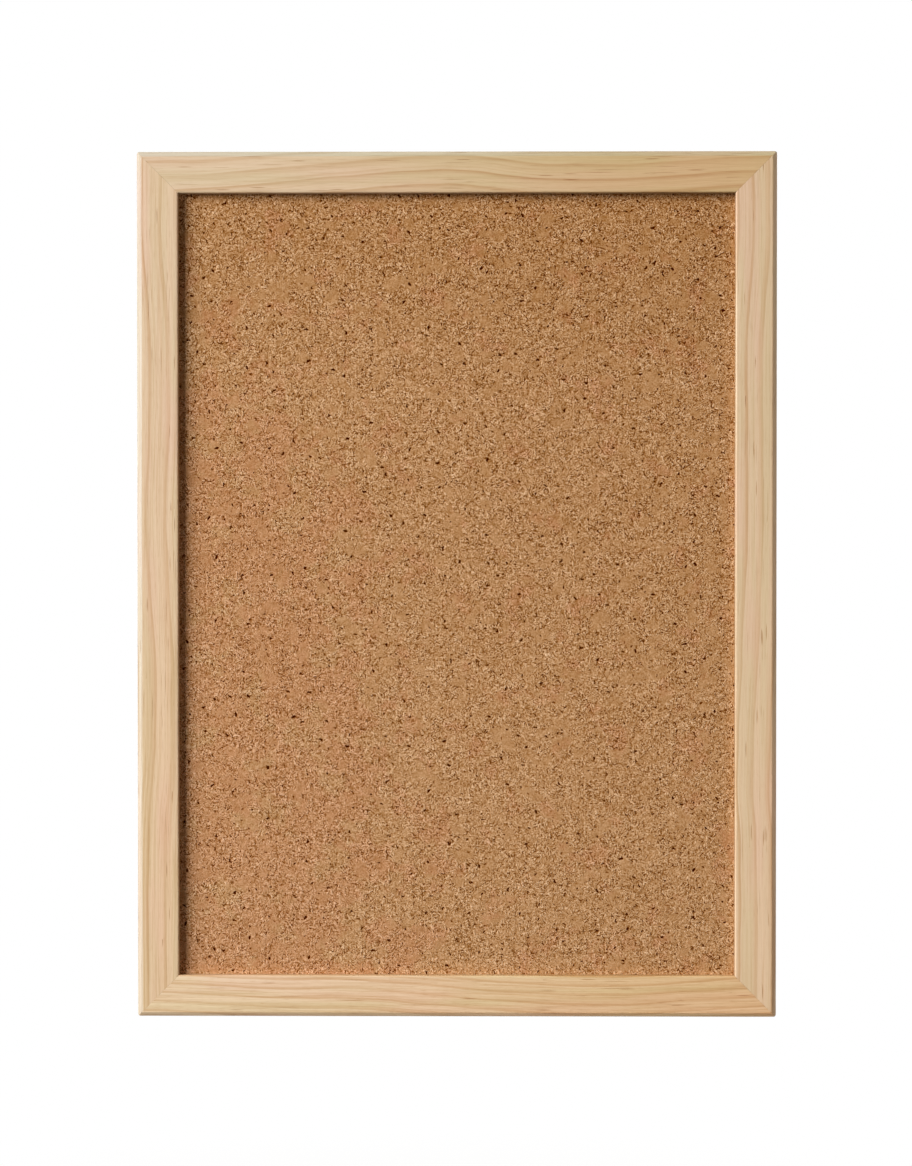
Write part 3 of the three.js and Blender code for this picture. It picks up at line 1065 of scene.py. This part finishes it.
def sheet_grid(low, high):
    """Points and faces of a sheet whose front is a fine grid, and whose back is one face."""
    columns = math.ceil((high.x - low.x) / CORK_STEP)
    rows = math.ceil((high.z - low.z) / CORK_STEP)
    xs = np.linspace(low.x, high.x, columns + 1)
    zs = np.linspace(low.z, high.z, rows + 1)
    points = [(x, low.y, z) for z in zs for x in xs]
    wide = columns + 1
    faces = [(r * wide + c, r * wide + c + 1, (r + 1) * wide + c + 1, (r + 1) * wide + c)
             for r in range(rows) for c in range(columns)]
    rim = list(range(wide))
    rim += [r * wide + columns for r in range(1, rows + 1)]
    rim += [rows * wide + c for c in range(columns - 1, -1, -1)]
    rim += [r * wide for r in range(rows - 1, 0, -1)]
    behind = len(points)
    points += [(points[i][0], high.y, points[i][2]) for i in rim]
    for k in range(len(rim)):
        following = (k + 1) % len(rim)
        faces.append((rim[following], rim[k], behind + k, behind + following))
    faces.append(tuple(range(behind, behind + len(rim))))
    return points, faces


def cork_piece():
    """The cork sheet, whose face is pitted by the specks and lightly uneven."""
    low, high = node_box("cork_sheet")
    points, faces = sheet_grid(low, high)
    piece = mesh_object("cork_face", points, faces, cork())
    lay_out_sheet(piece.data, low, high)
    relief = piece.modifiers.new("relief", "NODES")
    relief.node_group = cork_relief(low, high)
    baked(piece)
    seat(piece, "cork", "cork_sheet")


def lay_out_sheet(mesh, low, high):
    """Texture map of the cork: its face takes nearly all of it, and what is hidden a strip."""
    layer = mesh.uv_layers.new(name=BAKED_MAP)
    for face in mesh.polygons:
        shown = face.normal.y < -math.sqrt(0.5)
        for i in face.loop_indices:
            point = mesh.vertices[mesh.loops[i].vertex_index].co / MM
            across = (point.x - low.x) / (high.x - low.x)
            up = (point.z - low.z) / (high.z - low.z)
            layer.data[i].uv = (across, shown_height(up) if shown else HIDDEN_SHARE / 2 * up)


def cork_relief(low, high):
    """Geometry nodes that sink the face at each speck and make it gently uneven."""
    group = bpy.data.node_groups.new("cork_relief", "GeometryNodeTree")
    group.interface.new_socket("Geometry", in_out="INPUT", socket_type="NodeSocketGeometry")
    group.interface.new_socket("Geometry", in_out="OUTPUT", socket_type="NodeSocketGeometry")
    t = Tree(group)
    entry = t.node("NodeGroupInput").outputs[0]
    place = t.scaled(t.node("GeometryNodeInputPosition").outputs[0], (1 / MM, 1 / MM, 1 / MM))
    x, y, z = t.axes(place)
    inside_x = t.less(high.x - REBATE, t.math("ABSOLUTE", x))
    inside_z = t.less(high.z - REBATE, t.math("ABSOLUTE", z))
    inside = t.step(t.math("MINIMUM", inside_x, inside_z), 0.0, CORK_EDGE_FLAT)
    face = t.math("LESS_THAN", y, low.y + FACE_TOLERANCE)
    sink = t.times(cork_specks(t, on_sheet(t, place)), SPECK_SINK)
    chip = t.axes(t.cells(place, BROAD_CHIP).outputs["Color"])[0]
    sink = t.add(sink, t.times(chip, CHIP_SINK))
    sink = t.add(sink, t.times(t.noise(place, UNEVEN_SCALE, 2.0), UNEVEN_SINK))
    sink = t.times(t.times(sink, MM), t.times(inside, face))
    values = {"Geometry": entry, "Offset": t.joined(0.0, sink, 0.0)}
    moved = t.node("GeometryNodeSetPosition", values).outputs[0]
    t.node("NodeGroupOutput", {0: moved})
    return group


def panel_backing():
    """The softboard and hardboard sheets, with their cut edges softened."""
    sheets = {"softboard_core": ("softboard", softboard()), "hardboard_back": ("hardboard", hardboard())}
    for node, (slot, finish) in sheets.items():
        seat(eased_copy(node, f"{node}_sheet", finish, BOARD_EDGE), slot, node)


# Fittings


def metal_pieces():
    """Hangers, tabs and V-nails keep their solids' shape, with worn edges. Nails are turned."""
    plated = zinc()
    dark = spring_steel()
    for node in nodes_named("hanger_nail"):
        seat(round_nail(node, plated), "zinc", node)
    for node in nodes_named("panel_tab"):
        seat(eased_copy(node, f"{node}_point", dark, SHEET_EDGE), "steel", node)
    for node in nodes_named("sawtooth_hanger"):
        seat(eased_copy(node, f"{node}_strip", plated, SHEET_EDGE), "zinc", node)
    for node in nodes_named("v_nail"):
        seat(eased_copy(node, f"{node}_leaf", dark, SHEET_EDGE / 2), "steel", node)


def round_nail(node, material):
    """A pointed nail with a low domed head, in its solid's place."""
    low, high = node_box(node)
    centre = (low + high) / 2
    head_radius = (high.x - low.x) / 2
    length = high.y - low.y - NAIL_HEAD
    tip_radius_share, tip_share = NAIL_TIP_SHARES
    profile = [
        (0, -length),
        (SHANK_RADIUS * tip_radius_share, NAIL_POINT * tip_share - length),
        (SHANK_RADIUS, NAIL_POINT - length),
        (SHANK_RADIUS, 0),
    ]
    profile += [(head_radius * out, NAIL_HEAD * up) for out, up in NAIL_HEAD_SHARES]
    profile.append((0, NAIL_HEAD))
    piece = lathe(f"{node}_turned", profile, NAIL_SIDES, material)
    piece.location = Vector((centre.x, high.y - NAIL_HEAD, centre.z)) * MM
    return piece


def pad_profile(radius, thick):
    """Half outline of a pad, from the middle of its glued face round its soft rim."""
    profile = [(0, 0)]
    profile += [(radius * share, 0) for share in PAD_FOOT_SHARES]
    profile.append((radius, PAD_FOOT_EDGE))
    profile += [(radius, thick * share) for share in PAD_WALL_SHARES]
    for k in range(PAD_RIM_STEPS + 1):
        angle = k / PAD_RIM_STEPS * math.pi / 2
        out = radius - PAD_RIM + PAD_RIM * math.cos(angle)
        profile.append((out, thick - PAD_RIM + PAD_RIM * math.sin(angle)))
    profile += [(radius * share, thick) for share in PAD_FACE_SHARES]
    profile.append((0, thick))
    return profile


def felt_pads():
    """The pads that bear on the wall, with uneven fuzzy sides."""
    wool = felt()
    for node in nodes_named("wall_pad"):
        low, high = node_box(node)
        thick = high.y - low.y
        profile = pad_profile((high.x - low.x) / 2, thick)
        piece = lathe(f"{node}_felt", profile, PAD_SIDES, wool)
        for vertex in piece.data.vertices:
            place = vertex.co / MM
            fuzz = noise.noise(place * PAD_FUZZ_SCALE + Vector((low.x, 0, low.z))) * PAD_FUZZ
            if PAD_FUZZ_START < place.y < thick - PAD_FUZZ_END:
                vertex.co += vertex.normal * (fuzz - PAD_FUZZ) * MM
        soften(piece.data)
        piece.location = Vector(((low.x + high.x) / 2, low.y, (low.z + high.z) / 2)) * MM
        seat(piece, "felt", node)


# Stage


def aim(holder, place, target):
    """Puts a lamp or camera at a place, in millimetres, and points it at another."""
    where = Vector(place) * MM
    ahead = Vector(target) * MM - where
    turn = ahead.to_track_quat("-Z", "Y").to_matrix().to_4x4()
    holder.matrix_world = Matrix.Translation(where) @ turn


def soft_lamp(name, place, size, level, tint=(1, 1, 1)):
    """An area lamp aimed at the board. level is what a white face square to it gives back."""
    lamp = bpy.data.lights.new(name, "AREA")
    lamp.color = tint
    lamp.shape = "RECTANGLE"
    lamp.size = size[0] * MM
    lamp.size_y = size[1] * MM
    lamp.energy = level * math.pi ** 2 * (Vector(place) * MM).length_squared
    aim(new_object(name, lamp), place, (0, 0, 0))


def studio():
    """Soft key light from the upper left, rim, rear and bounce lights, fill, and a floor."""
    soft_lamp("key", KEY_PLACE, KEY_SIZE, KEY_LEVEL)
    soft_lamp("rim", RIM_PLACE, RIM_SIZE, RIM_LEVEL)
    soft_lamp("rear", REAR_PLACE, REAR_SIZE, REAR_LEVEL)
    soft_lamp("bounce", BOUNCE_PLACE, BOUNCE_SIZE, BOUNCE_LEVEL, BOUNCE_TINT)
    white_world()
    bpy.context.scene.view_settings.view_transform = "Standard"
    level = board_low.z - FLOOR_DROP
    points = [(x * FLOOR_HALF, y * FLOOR_HALF, level) for x, y in FLOOR_CORNER_SHARES]
    floor = mesh_object("floor", points, [(0, 1, 2, 3)], pale_floor())


def white_world():
    """A world that is white where it is seen, and lights the board less from the front."""
    world = bpy.data.worlds.new("studio")
    bpy.context.scene.world = world
    world.use_nodes = True
    t = Tree(world.node_tree)
    background = world.node_tree.nodes["Background"]
    heading = t.axes(t.node("ShaderNodeTexCoord").outputs["Generated"])[1]
    fill = t.step(heading, *FILL_TURN, FRONT_FILL_LEVEL, WALL_FILL_LEVEL)
    t.feed(background.inputs["Strength"], t.mix(seen_directly(t), fill, BACKGROUND_LEVEL))
    tint = t.blend(t.step(heading, *FILL_TURN), (*FRONT_FILL_TINT, 1), WHITE)
    t.feed(background.inputs["Color"], t.blend(seen_directly(t), tint, WHITE))


def seen_directly(t):
    """1 for rays from the camera, or mirrored or bent on their way to it, and 0 for others."""
    path = t.node("ShaderNodeLightPath").outputs
    return t.larger(t.larger(path["Is Camera Ray"], path["Is Glossy Ray"]), path["Is Transmission Ray"])


def pale_floor():
    """White where it is seen, with the board's shadow, which fades out away from the board."""
    f = Finish("pale_floor", Roughness=1.0, Specular_IOR_Level=0.0)
    x, y, _ = f.axes(f.place())
    away = f.math("SQRT", f.add(f.times(x, x), f.times(y, y)))
    near = f.step(away, SHADOW_NEAR, SHADOW_FAR, 1.0, 0.0)
    colour = f.blend(near, BLACK, srgb(*FLOOR_COLOUR))
    f.wear(f.blend(seen_directly(f), srgb(*FLOOR_BOUNCE_COLOUR), colour))
    f.shader.inputs["Emission Color"].default_value = WHITE
    glow = f.mix(near, 1.0, SHADOW_GLOW)
    f.feed(f.shader.inputs["Emission Strength"], f.times(seen_directly(f), glow))
    return f.material


def camera():
    """The photograph's own view."""
    lens = bpy.data.cameras.new("camera")
    lens.sensor_fit = "HORIZONTAL"
    lens.sensor_width = SENSOR_WIDTH
    lens.lens = SENSOR_WIDTH * FOCAL_PIXELS / PHOTO_WIDTH
    holder = new_object("camera", lens)
    aim(holder, CAMERA_PLACE, CAMERA_AIM)
    bpy.context.scene.camera = holder


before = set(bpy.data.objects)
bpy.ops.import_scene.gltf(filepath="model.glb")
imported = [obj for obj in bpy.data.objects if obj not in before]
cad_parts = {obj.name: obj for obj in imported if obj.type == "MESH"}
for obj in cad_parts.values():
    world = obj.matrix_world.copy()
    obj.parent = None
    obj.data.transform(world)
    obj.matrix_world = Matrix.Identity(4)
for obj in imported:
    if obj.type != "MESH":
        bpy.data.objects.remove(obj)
cad_bounds = [list(corner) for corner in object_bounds()]
board_low = Vector(cad_bounds[0]) / MM
board_high = Vector(cad_bounds[1]) / MM
top_low, top_high = node_box("top_rail")
moulding_width = top_high.z - top_low.z
moulding_depth = top_high.y - top_low.y
pad_depth = -top_high.y

camera()
studio()
pine_frame()
cork_piece()
panel_backing()
metal_pieces()
felt_pads()
